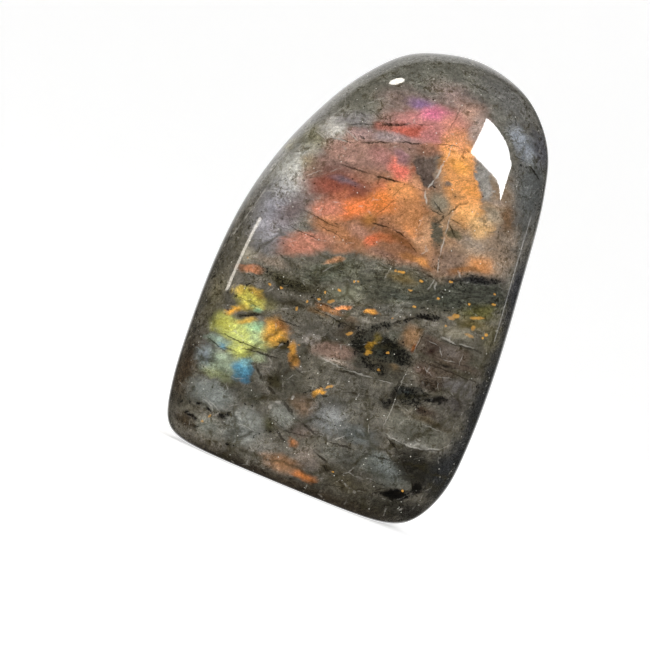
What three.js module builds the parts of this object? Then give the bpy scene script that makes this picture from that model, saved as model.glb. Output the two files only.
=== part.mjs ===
// A polished labradorite freeform: an arch of stone with a gently domed face and back,
// softly bevelled flanks and a flat cut base that it stands on.
// Units are millimetres, +Z is up and the face looks towards -Y.
// The origin is the middle of the stone's bounding box, at the base.
import * as THREE from 'three';
import { mergeVertices } from 'three/addons/utils/BufferGeometryUtils.js';

// Driving dimensions
const stoneHeight = 92.7;
const stoneWidth = 61.5;
const stoneThickness = 34;

// The face and the back are shallow domes: how far each falls away from its crest
const crestHeight = 38;
const dropToFlanks = 5.5;
const dropToTop = 7.5;
const dropToBase = 3.5;

// The flanks: how far they bulge at mid thickness, and the soft bevel between them and the domes.
// Towards the top of the arch the bulge grows and the bevel fades into one soft roll.
const flankBulge = 3;
const topBulge = 6.5;
const bevelWidth = 3.2;
const bevelDepth = 5;
const bevelLeftAtTop = 0.3;
const bevelFadeStarts = 55;
const bevelFadeEnds = 86;
const edgeRoll = 4;
const baseRoll = 3;

// The outline seen from the front, as fractions of half the width and of the height.
// It runs below the base between the lower corners, and the base plane cuts it off there.
const outlineFractions = [
  [0.0, -0.09], [0.35, -0.075], [0.6, -0.04], [0.75, -0.003], [0.9, 0.052], [0.982, 0.125],
  [1.0, 0.22], [0.982, 0.386], [0.924, 0.577], [0.839, 0.78], [0.735, 0.885], [0.54, 0.957],
  [0.355, 0.987], [0.1, 1.0], [-0.13, 0.986], [-0.348, 0.954], [-0.582, 0.868], [-0.748, 0.768],
  [-0.878, 0.659], [-0.963, 0.54], [-0.998, 0.41], [-0.99, 0.25], [-0.957, 0.112], [-0.9, 0.036],
  [-0.79, -0.01], [-0.62, -0.045], [-0.35, -0.075],
];
const outlineSamples = 240;

// The mesh: how many faces run across, through and up the stone, how far their rows are drawn
// towards the edges (0 to 1), and where the rays that find the surface start
const facesAcross = 28;
const facesThrough = 16;
const facesUp = 40;
const drawToEdges = 0.7;
const heartHeight = 44;

const halfWidth = stoneWidth / 2;
const halfThickness = stoneThickness / 2;

function outlineCurve() {
  const points = outlineFractions.map(
    ([across, up]) => new THREE.Vector3(across * halfWidth, 0, up * stoneHeight)
  );
  const curve = new THREE.CatmullRomCurve3(points, true, 'centripetal');
  return curve.getSpacedPoints(outlineSamples).slice(0, outlineSamples);
}

const outline = outlineCurve();

// Signed distance to the outline in the front view, negative inside it
function outlineDistance(x, z) {
  let nearest = Infinity;
  let inside = false;
  for (let i = 0; i < outline.length; i += 1) {
    const a = outline[i];
    const b = outline[(i + 1) % outline.length];
    const edgeX = b.x - a.x;
    const edgeZ = b.z - a.z;
    const along = ((x - a.x) * edgeX + (z - a.z) * edgeZ) / (edgeX * edgeX + edgeZ * edgeZ);
    const t = THREE.MathUtils.clamp(along, 0, 1);
    nearest = Math.min(nearest, Math.hypot(x - a.x - t * edgeX, z - a.z - t * edgeZ));
    if ((a.z > z) !== (b.z > z) && x < a.x + ((z - a.z) / edgeZ) * edgeX) inside = !inside;
  }
  return inside ? -nearest : nearest;
}

// The larger of two distances, with the crease between them rolled over
function rolled(a, b, roll) {
  const overlap = Math.max(roll - Math.abs(a - b), 0) / roll;
  return Math.max(a, b) + (overlap * overlap * roll) / 4;
}

// How far a dome stands out from the middle plane
function domeReach(x, z) {
  const across = x / halfWidth;
  const fromCrest = z - crestHeight;
  const along = fromCrest / (fromCrest > 0 ? stoneHeight - crestHeight : crestHeight);
  const dropAlong = fromCrest > 0 ? dropToTop : dropToBase;
  return halfThickness - dropToFlanks * across * across - dropAlong * along * along;
}

// A dome with its soft bevel down to the flank
function bevelledDome(dome, flank, bevelShare) {
  const steepness = Math.hypot(1 / bevelWidth, 1 / bevelDepth);
  const bevel = (flank / bevelWidth + dome / bevelDepth + bevelShare) / steepness;
  return rolled(dome, bevel, edgeRoll);
}

// Distance to the stone's surface, near enough to find it along a ray
function stoneDistance({ x, y, z }) {
  const topness = THREE.MathUtils.smoothstep(z, bevelFadeStarts, bevelFadeEnds);
  const bulge = THREE.MathUtils.lerp(flankBulge, topBulge, topness);
  const bevelShare = THREE.MathUtils.lerp(1, bevelLeftAtTop, topness);
  const reach = domeReach(x, z);
  const flank = outlineDistance(x, z) + bulge * (y / halfThickness) ** 2;
  const face = bevelledDome(-y - reach, flank, bevelShare);
  const back = bevelledDome(y - reach, flank, bevelShare);
  const sides = rolled(rolled(flank, face, edgeRoll), back, edgeRoll);
  return rolled(sides, -z, baseRoll);
}

// The point where a ray from the heart of the stone leaves it
function surfacePoint(heart, direction) {
  let near = 0;
  let far = stoneHeight;
  const point = new THREE.Vector3();
  while (far - near > 1e-4) {
    const middle = (near + far) / 2;
    point.copy(heart).addScaledVector(direction, middle);
    if (stoneDistance(point) < 0) near = middle;
    else far = middle;
  }
  return point;
}

// A point of the cube from -1 to 1, with the rows of faces drawn towards the cube's edges
function drawnToEdges({ x, y, z }) {
  const reach = (Math.PI / 2) * drawToEdges;
  const drawn = [x, y, z].map((t) => Math.sin(t * reach) / Math.sin(reach));
  return new THREE.Vector3(...drawn);
}

// The same point moved onto the unit sphere, with the faces kept even
function onSphere({ x, y, z }) {
  const [xx, yy, zz] = [x * x, y * y, z * z];
  return new THREE.Vector3(
    x * Math.sqrt(1 - yy / 2 - zz / 2 + (yy * zz) / 3),
    y * Math.sqrt(1 - zz / 2 - xx / 2 + (zz * xx) / 3),
    z * Math.sqrt(1 - xx / 2 - yy / 2 + (xx * yy) / 3)
  );
}

// The ray for a point of the cube: like a box's near the flat base, like an egg's near the arch
function rayDirection(cubePoint, halfSizes) {
  const boxed = drawnToEdges(cubePoint);
  const rounded = onSphere(boxed);
  const roundness = THREE.MathUtils.smoothstep(cubePoint.z, -1, 0.4);
  return boxed.lerp(rounded, roundness).multiply(halfSizes).normalize();
}

function stoneGeometry() {
  const cube = new THREE.BoxGeometry(2, 2, 2, facesAcross, facesThrough, facesUp);
  cube.deleteAttribute('normal');
  cube.deleteAttribute('uv');
  const geometry = mergeVertices(cube);
  const heart = new THREE.Vector3(0, 0, heartHeight);
  const halfSizes = new THREE.Vector3(halfWidth, halfThickness, stoneHeight / 2);
  const places = geometry.attributes.position;
  const corner = new THREE.Vector3();
  for (let i = 0; i < places.count; i += 1) {
    corner.fromBufferAttribute(places, i);
    const point = surfacePoint(heart, rayDirection(corner, halfSizes));
    places.setXYZ(i, point.x, point.y, point.z);
  }
  geometry.computeBoundingBox();
  const { min, max } = geometry.boundingBox;
  geometry.translate(-(min.x + max.x) / 2, -(min.y + max.y) / 2, -min.z);
  geometry.computeVertexNormals();
  return geometry;
}

const polishedStone = new THREE.MeshStandardMaterial({
  color: new THREE.Color(0.42, 0.42, 0.4),
  roughness: 0.12,
  metalness: 0,
});

const labradorite = new THREE.Mesh(stoneGeometry(), polishedStone);
labradorite.name = 'labradorite';

const stone = new THREE.Group();
stone.add(labradorite);

export default stone;
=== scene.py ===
import math

import bpy
from mathutils import Matrix, Quaternion, Vector


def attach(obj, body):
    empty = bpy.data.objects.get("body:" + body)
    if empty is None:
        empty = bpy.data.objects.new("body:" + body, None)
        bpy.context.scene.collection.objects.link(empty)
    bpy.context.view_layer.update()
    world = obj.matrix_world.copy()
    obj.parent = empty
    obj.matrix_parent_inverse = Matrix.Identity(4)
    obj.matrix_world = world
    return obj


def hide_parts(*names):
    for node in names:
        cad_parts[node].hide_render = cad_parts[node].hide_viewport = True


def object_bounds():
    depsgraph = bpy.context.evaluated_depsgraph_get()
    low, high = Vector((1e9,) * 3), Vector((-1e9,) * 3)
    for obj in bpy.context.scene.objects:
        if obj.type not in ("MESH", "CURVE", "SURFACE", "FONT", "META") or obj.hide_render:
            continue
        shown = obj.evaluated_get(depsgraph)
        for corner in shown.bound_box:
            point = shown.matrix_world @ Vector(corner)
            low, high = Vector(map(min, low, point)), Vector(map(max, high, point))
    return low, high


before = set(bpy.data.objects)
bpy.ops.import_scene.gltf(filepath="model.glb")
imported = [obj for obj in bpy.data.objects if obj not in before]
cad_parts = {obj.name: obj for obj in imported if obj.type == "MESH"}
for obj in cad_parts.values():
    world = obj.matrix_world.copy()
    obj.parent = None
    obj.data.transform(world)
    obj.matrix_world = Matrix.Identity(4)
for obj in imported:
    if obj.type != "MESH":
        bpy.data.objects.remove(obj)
cadLow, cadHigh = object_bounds()
scene = bpy.context.scene
print("frame loaded")


# The camera looks straight at the face and is rolled, so the stone leans to the right in the picture
cameraSettings = {
    "distance": 0.60,       # from the middle plane of the stone
    "aimAcross": -0.0051,   # what the middle of the picture falls on
    "aimUp": 0.0323,
    "lean": 22.4,           # degrees
    "span": 0.130,          # width of the picture at the stone
    "sensor": 36.0,
    "clip": (0.01, 20),
}


def makeCamera(settings):
    bpy.ops.object.camera_add(
        location=(settings["aimAcross"], -settings["distance"], settings["aimUp"]),
        rotation=(math.radians(90), math.radians(-settings["lean"]), 0),
    )
    camera = bpy.context.object
    camera.name = "studioCamera"
    camera.data.sensor_width = settings["sensor"]
    camera.data.lens = settings["sensor"] * settings["distance"] / settings["span"]
    camera.data.clip_start, camera.data.clip_end = settings["clip"]
    scene.camera = camera


def selectOnly(piece):
    bpy.ops.object.select_all(action="DESELECT")
    piece.select_set(True)
    bpy.context.view_layer.objects.active = piece


# The stone is a copy of the CAD solid: merged, turned to quads and rounded off
stoneSettings = {
    "mergeWithin": 0.00001,
    "quadAngle": 60,        # degrees, how unlike a flat square two triangles may be and still join
    "rounding": 2,          # subdivision levels
}


def makeStone(settings):
    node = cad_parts["labradorite"]
    stone = bpy.data.objects.new("polishedStone", node.data.copy())
    scene.collection.objects.link(stone)
    stone.data.materials.clear()
    selectOnly(stone)
    bpy.ops.object.mode_set(mode="EDIT")
    bpy.ops.mesh.select_all(action="SELECT")
    bpy.ops.mesh.remove_doubles(threshold=settings["mergeWithin"])
    angle = math.radians(settings["quadAngle"])
    bpy.ops.mesh.tris_convert_to_quads(face_threshold=angle, shape_threshold=angle)
    bpy.ops.mesh.normals_make_consistent(inside=False)
    bpy.ops.object.mode_set(mode="OBJECT")
    rounding = stone.modifiers.new("rounding", "SUBSURF")
    rounding.levels = settings["rounding"]
    rounding.render_levels = settings["rounding"]
    bpy.ops.object.modifier_apply(modifier=rounding.name)
    bpy.ops.object.shade_smooth()
    print("stone rounded:", len(stone.data.polygons), "faces")
    return stone


# Node helpers. A value that is a socket is linked, anything else is typed in.
def addNode(tree, kind, inputs=None, **settings):
    node = tree.nodes.new(kind)
    for name, value in settings.items():
        setattr(node, name, value)
    for socket, value in (inputs or {}).items():
        if isinstance(value, bpy.types.NodeSocket):
            tree.links.new(value, node.inputs[socket])
        else:
            node.inputs[socket].default_value = value
    return node


def calc(tree, operation, first, second=0.0, third=0.0):
    return addNode(tree, "ShaderNodeMath", {0: first, 1: second, 2: third}, operation=operation).outputs[0]


def vectorCalc(tree, operation, first, second=(0, 0, 0)):
    node = addNode(tree, "ShaderNodeVectorMath", {0: first, 1: second}, operation=operation)
    return node.outputs["Value" if operation == "DOT_PRODUCT" else "Vector"]


def ramp(tree, value, start, end, low=0.0, high=1.0, smooth=True):
    values = {"Value": value, "From Min": start, "From Max": end, "To Min": low, "To Max": high}
    kind = "SMOOTHSTEP" if smooth else "LINEAR"
    node = addNode(tree, "ShaderNodeMapRange", values, interpolation_type=kind, clamp=not smooth)
    return node.outputs["Result"]


def blend(tree, amount, under, over, how="MIX"):
    node = addNode(tree, "ShaderNodeMix", data_type="RGBA", blend_type=how)
    for socket, value in (("Factor_Float", amount), ("A_Color", under), ("B_Color", over)):
        target = next(s for s in node.inputs if s.identifier == socket)
        if isinstance(value, bpy.types.NodeSocket):
            tree.links.new(value, target)
        else:
            target.default_value = value
    return next(s for s in node.outputs if s.identifier == "Result_Color")


def noise(tree, place, scale, detail=3.0, roughness=0.55, distortion=0.0):
    values = {"Vector": place, "Scale": scale, "Detail": detail, "Roughness": roughness,
              "Distortion": distortion}
    return addNode(tree, "ShaderNodeTexNoise", values)


def colour(code):
    channels = [int(code[i:i + 2], 16) / 255 for i in (1, 3, 5)]
    return [c / 12.92 if c <= 0.04045 else ((c + 0.055) / 1.055) ** 2.4 for c in channels] + [1.0]


def newGroup(name, inputs, outputs):
    group = bpy.data.node_groups.new(name, "ShaderNodeTree")
    for label, kind in inputs:
        group.interface.new_socket(label, in_out="INPUT", socket_type="NodeSocket" + kind)
    for label, kind in outputs:
        group.interface.new_socket(label, in_out="OUTPUT", socket_type="NodeSocket" + kind)
    return group, group.nodes.new("NodeGroupInput"), group.nodes.new("NodeGroupOutput")


# How far a place lies from the centre of an oval or a stroke, measured in its own half sizes
def ownPlace(group, given):
    away = vectorCalc(group, "SUBTRACT", given["Place"], given["Centre"])
    along = vectorCalc(group, "DOT_PRODUCT", away, given["Along"])
    aside = vectorCalc(group, "DOT_PRODUCT", away, given["Aside"])
    squared = calc(group, "MULTIPLY_ADD", along, along, calc(group, "MULTIPLY", aside, aside))
    return along, aside, squared


ownInputs = [("Place", "Vector"), ("Centre", "Vector"), ("Along", "Vector"), ("Aside", "Vector")]


# One soft patch of colour: an oval, squared off as far as Boxy says, mixed over what lies under it
def makePatchGroup():
    inputs = ownInputs + [("Under", "Color"), ("Colour", "Color"), ("Strength", "Float"),
                          ("Inner", "Float"), ("Outer", "Float"), ("Boxy", "Float"), ("Ragged", "Float")]
    group, given, result = newGroup("softPatch", inputs, [("Colour", "Color")])
    o = given.outputs
    along, aside, squared = ownPlace(group, o)
    oval = calc(group, "SQRT", squared)
    box = calc(group, "MAXIMUM", calc(group, "ABSOLUTE", along), calc(group, "ABSOLUTE", aside))
    squaredOff = calc(group, "MULTIPLY_ADD", calc(group, "SUBTRACT", box, oval), o["Boxy"], oval)
    reach = calc(group, "ADD", squaredOff, o["Ragged"])
    cover = ramp(group, reach, o["Inner"], o["Outer"], 1.0, 0.0)
    amount = calc(group, "MULTIPLY", cover, o["Strength"])
    group.links.new(blend(group, amount, o["Under"], o["Colour"]), result.inputs[0])
    return group


# One fleck or stroke of a mask that is built up fleck by fleck; a stroke is a long thin fleck
def makeFleckGroup():
    inputs = ownInputs + [("SoFar", "Float"), ("Strength", "Float"), ("Inner", "Float")]
    group, given, result = newGroup("fleck", inputs, [("Mask", "Float")])
    o = given.outputs
    squared = ownPlace(group, o)[2]
    cover = calc(group, "MULTIPLY", ramp(group, squared, o["Inner"], 1.0, 1.0, 0.0), o["Strength"])
    group.links.new(calc(group, "MAXIMUM", o["SoFar"], cover), result.inputs[0])
    return group


# The colours of the face, laid one over another. Millimetres across and up the face, half sizes,
# turn in degrees, colour, strength, softness of the edge (0 crisp, 1 fades from the middle), boxiness.
# Where a row ends early, patchDefaults below fills in the last three.
facePatches = [
    # wide fields under everything else
    ("crownField", 1, 84, 23, 9, 0, "#6a6861", 0.9, 0.5),
    ("leftField", -20, 62, 8, 18, -10, "#7b7973", 0.9, 0.5),
    ("rightField", 22, 68, 6, 20, 4, "#65615b", 0.9, 0.5, 0.1),
    ("flashCrown", -1, 77, 10.5, 5.6, 14, "#a67a72", 0.95, 0.45, 0.1),
    ("flashLeft", -8.5, 62.5, 11.5, 11, 20, "#8f6c5e", 0.95, 0.35, 0.3),
    ("flashHeart", 0.5, 59.5, 11, 9.5, 0, "#a27252", 0.95, 0.5, 0.1),
    ("flashRight", 13, 61.5, 8.5, 12, -8, "#a08264", 0.95, 0.4, 0.3),
    ("flashFoot", -1, 52.8, 15, 4.2, 2, "#93694f", 0.95, 0.35, 0.3),
    ("flashFar", 18.5, 57, 6.5, 5, 12, "#98806a", 0.95, 0.4, 0.3),
    # grey crown, shoulders and left side
    ("crownOlive", -6, 87, 12, 5, 20, "#67665d", 0.8),
    ("crownRight", 12, 88.5, 9, 3.2, -24, "#62615f", 0.85),
    ("felt", -15.5, 77.5, 6.4, 5.8, 55, "#6d6b60", 0.85),
    ("leftOlive", -21.6, 66.3, 3.5, 2.8, 60, "#84806a", 0.85),
    ("leftPale", -22.6, 58, 4, 6.2, -18, "#bcbbb4", 0.95, 0.6, 0.2),
    ("leftSlate", -22.8, 49, 4.4, 8, 3, "#95939a", 0.9, 0.6, 0.1),
    ("leftMauve", -19.6, 51.5, 2.6, 5.6, -25, "#6f615f", 0.9, 0.7),
    ("paleCloud", -18.4, 69.8, 3, 2.4, 12, "#b9b5ae", 0.97, 0.4, 0.3),
    ("paleAbove", -15.4, 72.8, 4.4, 1.6, 20, "#8f8b8b", 0.85, 0.7),
    ("lavenderShard", -13, 70.9, 2.2, 0.9, 30, "#7e7480", 0.85),
    ("yellowEdge", -25.3, 63.6, 0.9, 2, -24, "#8c8564", 0.8, 0.7),
    ("tanShoulder", -20.6, 61.2, 1.6, 2.4, 10, "#8a7a5c", 0.8, 0.7),
    ("rightSlate", 22.8, 74, 3.8, 10, 10, "#565857", 0.9, 0.5, 0.2),
    ("rightMauve", 21.6, 62.5, 2.8, 5.6, 15, "#776a5d", 0.85),
    ("cornerSlate", 21.6, 82.2, 4, 2.2, -52, "#55555a", 0.9, 0.5, 0.3),
    ("blueShoulder", 17.4, 81.4, 4.4, 2.0, -38, "#8a8f96", 0.95, 0.45, 0.3),
    # flash across the crown: violet, rose, coral
    ("mauveVeil", -7.5, 80.3, 6, 2.8, 14, "#84726b", 0.85),
    ("crownMauve", 3, 84.3, 6, 2.8, -12, "#8b7670", 0.85, 0.7),
    ("crownGlow", 5.4, 82.6, 3, 2.4, 0, "#b89482", 0.88, 0.7),
    ("roseField", -1, 77.8, 6.4, 3.6, 20, "#c68580", 0.95, 0.4, 0.2),
    ("violetEdge", -4.3, 80.9, 2.9, 1.2, 14, "#8a6c92", 0.9, 0.8),
    ("magentaGlow", -1, 79.9, 2.8, 1.5, 18, "#cf7390", 0.92, 0.8),
    ("coralRight", 4, 77, 3, 4.2, 8, "#dd9680", 0.95, 0.6, 0.2),
    ("redUnder", -4.6, 74.7, 4.4, 1.5, 22, "#ad5a4a", 0.93, 0.5, 0.2),
    ("redTail", -9.6, 73.5, 2.2, 0.9, 26, "#8c594d", 0.9, 0.5, 0.2),
    ("roseUnder", 0.3, 75.4, 2.6, 1.4, 20, "#ab6f6c", 0.85),
    ("coralLow", 2.2, 73.8, 2.8, 1.3, 24, "#c58066", 0.9, 0.4, 0.2),
    ("redBrown", 0.8, 72.4, 3, 1.8, 18, "#82604f", 0.92, 0.5, 0.2),
    ("paleMauve", -8.6, 71.9, 6.6, 1.1, 15, "#908282", 0.92, 0.6, 0.1),
    ("mauveCoral", -13, 70.5, 3, 1.5, 20, "#9a7f79", 0.9, 0.4, 0.3),
    ("pinkBrown", -11.5, 66.2, 7.4, 2.5, 8, "#98776b", 0.95, 0.35, 0.3),
    ("mauveKnot", -4.2, 69.4, 2.2, 1.2, -8, "#8c6c6f", 0.9, 0.5),
    ("pinkish", -7, 67.4, 3.6, 2, -10, "#a77770", 0.9, 0.7),
    ("redMid", -2.9, 66.2, 3, 1.7, -38, "#d27060", 0.95, 0.55, 0.1),
    ("mauveAbove", -3.6, 68.9, 1.8, 1, -20, "#8f6a6c", 0.9, 0.7),
    ("rustBeside", -0.4, 67.8, 1.2, 1.6, -38, "#87513f", 0.92),
    ("orangeShard", 1.6, 65, 2, 0.8, -38, "#bf8a68", 0.9, 0.5, 0.2),
    ("darkWedge", 1.6, 68.2, 3.6, 1.5, -42, "#574a43", 1.0, 0.22, 0.5),
    ("darkWedgeTop", 2.4, 69.8, 1.7, 1.3, 0, "#5f524a", 0.95, 0.3, 0.5),
    # flash across the middle: brown red on the left, orange in the heart
    ("mauveDark", -15.8, 62.6, 4.6, 1.7, 5, "#7d645b", 0.92, 0.4, 0.3),
    ("brownRed", -12.8, 59, 8, 3.4, 10, "#854a3b", 0.95, 0.55, 0.1),
    ("mauveGrey", -12.4, 60.6, 3, 0.9, 5, "#75656c", 0.85, 0.7),
    ("leftBrown", -19, 60.3, 1.6, 2.2, 0, "#7f6454", 0.8),
    ("coralHeart", -5.2, 62.2, 2.2, 1.6, 20, "#b76f51", 0.9, 0.5, 0.1),
    ("orangeDeep", -3.8, 59.6, 4.8, 2.8, 46, "#da8042", 0.95, 0.6, 0.1),
    ("redEdge", -12, 57.3, 2.4, 1.6, 45, "#a8654b"),
    ("orangeBright", -8.6, 56, 4.2, 2.1, 42, "#e07c46", 0.97, 0.6, 0.1),
    ("orangeTop", -0.4, 62.6, 3.8, 2, 4, "#d9935c", 0.95, 0.5, 0.2),
    ("tanOrange", 2.8, 59.2, 4.4, 3.4, -14, "#b37b50", 0.92, 0.6, 0.1),
    ("peach", 7.4, 56.2, 1.5, 4.2, 24, "#b58a68", 0.92, 0.5, 0.2),
    ("orangeSpot", 3.6, 56.3, 2, 1, -35, "#cf8b58"),
    ("peachLow", 6, 54.2, 2.4, 1.6, -30, "#b98c69", 0.9, 0.5, 0.1),
    ("goldDeep", -5, 55.2, 1.8, 1.2, 10, "#9c6a38", 0.85),
    ("mauveRight", 13.4, 53.4, 3.6, 3.5, 8, "#786456", 0.95, 0.5, 0.2),
    ("orangeBrown", 12.4, 57.2, 2, 0.9, 8, "#96765c"),
    ("mauveHigh", 16.2, 58.8, 3.6, 1.7, 8, "#948678", 0.92, 0.6, 0.1),
    ("orangeRight", 18.8, 55.2, 3.2, 1.7, 14, "#b87e4e", 0.95, 0.6, 0.1),
    ("orangeEdge", 16.6, 53, 3.4, 0.9, 24, "#8e623e", 0.9, 0.5, 0.1),
    # the amber band right of the crack
    ("amberBand", 8.7, 70.4, 9.4, 4.2, -62, "#db995d", 0.97, 0.28, 0.4),
    ("peachTop", 6.2, 76.6, 2.4, 2.2, -60, "#cf8f68", 0.8, 0.7),
    ("amberBright", 8, 72, 2.2, 1.4, -10, "#f3aa58", 0.92),
    ("amberBead", 11.4, 68.5, 2.2, 1.3, -20, "#e29b55"),
    ("amberLow", 13.2, 63.8, 3, 2.4, 35, "#dfa467", 0.92, 0.5, 0.2),
    ("sand", 16.4, 62.4, 2.9, 2.6, -50, "#c9a170", 0.92, 0.5, 0.1),
    ("sandMauve", 17.4, 65.2, 2, 2.4, -30, "#8f8473", 0.85),
    ("mauveUnder", 18, 68.4, 1.8, 1, 0, "#a08f80", 0.8, 0.5),
    ("brownRight", 20.6, 65.8, 1.4, 3, 18, "#70563e", 0.88, 0.6, 0.1),
    ("greyBeside", 8.8, 80.4, 1.8, 3.2, 12, "#ae998f", 0.9, 0.6, 0.1),
    ("greyNotch", 13.4, 71.2, 4.4, 1.5, -52, "#84817c", 0.97, 0.3, 0.4),
    ("notchPale", 14.8, 70, 2, 1, -50, "#a8a29a", 0.9, 0.7),
    ("greySpot", 7, 67.5, 1.1, 0.6, 15, "#6c6158", 0.93, 0.5),
    ("crackGrey", 7, 63.6, 3.4, 1.9, -8, "#7d7565", 0.95, 0.5, 0.2),
    ("oliveSpot", 9.2, 66, 1.5, 1.1, 0, "#9a7450", 0.85, 0.7),
    ("greyWedge", 8.6, 57.8, 3.3, 1.3, -58, "#575144", 1.0, 0.3, 0.4),
    ("oliveWedge", 11.8, 58.9, 2.2, 0.9, -12, "#5c5440", 0.95, 0.4, 0.3),
    # coral and salmon at the lower left of the flash
    ("coralLeft", -13.6, 53.9, 3.6, 1.8, 22, "#bb7862", 0.95, 0.6, 0.1),
    ("coralSpark", -12, 52.2, 2.4, 1.1, 24, "#cf8a66", 0.85, 0.7),
    ("brownCoral", -9.6, 50.3, 6, 1.8, -6, "#a3714f", 0.95, 0.4, 0.3),
    ("mauveCorner", -5.8, 51.9, 2.4, 1.5, 15, "#ab7e6a", 0.9, 0.5),
    ("salmonRight", -12.6, 47.5, 4.4, 1.7, 18, "#a97962", 0.92, 0.4, 0.3),
    ("salmon", -15.6, 45.6, 5.4, 2.4, 32, "#b97d69", 0.97, 0.5, 0.3),
    ("salmonTail", -7.7, 47.9, 2.6, 1.4, 32, "#a47357", 0.88, 0.5, 0.2),
    ("hotCoral", -2.6, 52, 2.2, 1.3, 44, "#e27a54", 0.95, 0.55, 0.1),
    ("coralOrange", -0.5, 53.3, 2.4, 1.1, 8, "#b26a43", 0.9, 0.5, 0.1),
    ("brownGold", 2.6, 54, 4.4, 1.2, -16, "#7d5030", 0.9, 0.6, 0.1),
    ("goldLow", 4.8, 51.3, 2, 0.9, 0, "#99683f", 0.9, 0.5, 0.1),
    ("amberTip", 7.9, 51.3, 2, 1.2, -5, "#cb8b50", 0.95, 0.5, 0.1),
    ("mauveFoot", 0, 50, 3.4, 0.9, 3, "#86685a", 0.8),
    # the dark grey-green band
    ("bandLeft", -7.6, 42.8, 7.4, 2.4, 30, "#5b5d50", 0.95, 0.5, 0.1),
    ("bandMiddle", 4.5, 44.9, 11.8, 4.4, 9, "#525145", 0.97, 0.3, 0.2),
    ("bandRight", 20, 48.8, 9, 4.2, 20, "#41423a", 0.97, 0.3, 0.2),
    ("bandBlack", 19.6, 52.2, 6, 0.9, 21, "#232427", 0.85),
    ("bandGreen", 14.6, 45.6, 4.4, 1.4, 18, "#3d3f36", 0.8, 0.8),
    ("bandSlate", 7, 43.6, 5, 1.1, 12, "#44463f", 0.8, 0.8),
    ("coralTip", -8.3, 44.7, 2, 0.6, 32, "#dda27a", 0.96, 0.5, 0.2),
    ("bluePool", -0.5, 46.6, 2.8, 1.7, 30, "#67655c", 0.8, 0.7),
    ("olivePool", 5.4, 46.9, 3.6, 1.3, 14, "#625333", 0.85, 0.7),
    ("oliveRight", 22.6, 46.2, 4.6, 1.9, 25, "#55522e"),
    ("goldBrown", 22.2, 43.4, 4, 1.3, 16, "#5c5230", 0.88),
    ("oliveFar", 27, 42.5, 2.4, 3.4, 0, "#5f5a44", 0.8),
    ("beige", 19.8, 40.8, 3.8, 1.2, 6, "#857f6e", 0.92, 0.5, 0.1),
    ("palePool", -3.8, 39.6, 4.2, 1.8, 20, "#777764", 0.85),
    ("greySlab", 6.6, 41, 4.4, 1.3, 25, "#64635c", 0.85, 0.6, 0.1),
    ("brownAbove", -20, 40, 3.8, 1.2, 0, "#74685c", 0.9, 0.5),
    ("darkSeam", -14.5, 37.5, 7.4, 1.6, 4, "#3c392a", 1.0, 0.45, 0.2),
    ("darkPool", -12.2, 34, 3, 1.1, 5, "#3a3527"),
    ("brownPool", -7.6, 34.1, 2.4, 0.7, 0, "#6b563c", 0.85),
    ("paleLeft", -24.7, 39.6, 1.6, 1.6, 0, "#a59e8e", 0.9, 0.7),
    ("darkArm", 4.6, 35.4, 2.4, 0.8, 42, "#2c2d27", 0.7, 0.8),
    ("darkArmFar", 13.3, 41.7, 2.8, 0.8, 16, "#1a1a16", 0.82),
    ("brownHollow", -0.5, 32.8, 2.6, 2, 10, "#40372a", 0.9, 0.7),
    ("emberLeft", -23.3, 36.9, 2.2, 0.9, 12, "#b07554", 0.93, 0.6, 0.1),
    ("tanEmber", -5.6, 35.5, 2.8, 0.7, 4, "#8a623f", 0.9, 0.4, 0.3),
    ("ember", -3.2, 37, 1.5, 0.55, 33, "#f5a166", 0.96, 0.5, 0.1),
    ("emberBrown", -1, 35.2, 2, 0.9, 0, "#645443", 0.8, 0.5),
    ("emberRight", 2.4, 38.3, 1.5, 0.6, 18, "#c1873f", 0.92, 0.4, 0.2),
    # rock right of the middle and the black hook
    ("rock", 20.5, 36.2, 7.6, 2.4, 0, "#564b41", 0.95, 0.2, 0.6),
    ("greenRock", 26.8, 37, 2.6, 1.7, 0, "#585549", 0.9, 0.4, 0.4),
    ("rockLow", 19, 31.8, 6, 2.6, 0, "#4b4137", 0.92, 0.4, 0.3),
    ("rockDark", 17, 36.6, 3, 1.2, 0, "#3e342d", 0.88, 0.7),
    ("rockPale", 20.4, 37.2, 2.2, 1.4, 0, "#6a625b", 0.85, 0.6, 0.1),
    ("rockRed", 17, 35.6, 0.9, 0.6, 20, "#2f1d17", 0.85, 0.7),
    ("rockSlit", 20.6, 34, 2.6, 0.4, 2, "#241e1a", 0.85),
    ("rockMauve", 16.4, 31.4, 2.2, 1.3, 0, "#5f5049", 0.85, 0.7),
    ("rockShade", 20, 29.6, 3, 0.9, 0, "#332b25", 0.85, 0.7),
    ("lavenderRock", 24.6, 31, 3.4, 1.9, 12, "#716d6b", 0.92, 0.5, 0.2),
    ("tanBlock", 11.5, 36.7, 2, 2.5, -4, "#86684b", 0.92, 0.5, 0.3),
    ("tanCorner", 13, 34.9, 0.45, 0.9, 12, "#8a4c22", 0.85, 0.6, 0.1),
    ("hookShade", 7.2, 31.6, 5.8, 3.2, 0, "#2a2a23", 0.96, 0.45, 0.2),
    ("hookBack", 2.3, 31.2, 1.6, 3.3, 6, "#1b1c16", 0.8, 0.8),
    ("hookSlate", 7.4, 30.9, 1.9, 1.5, 0, "#363831"),
    ("hookKnot", 11.4, 32, 2.3, 2.2, 0, "#24251f", 0.75, 0.8),
    ("hookTop", 8.6, 33.9, 3.4, 1, -4, "#1e1f19", 0.8, 0.8),
    ("hookRing", 6.5, 37, 1.3, 1.1, 0, "#2c2d27", 0.7, 0.8),
    ("hookUnder", 7, 28.2, 5, 1.4, -12, "#1c1d17", 0.8, 0.8),
    ("hookTan", 10.9, 29.5, 1.4, 0.7, 10, "#6f5a3c", 0.92, 0.5, 0.1),
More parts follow.
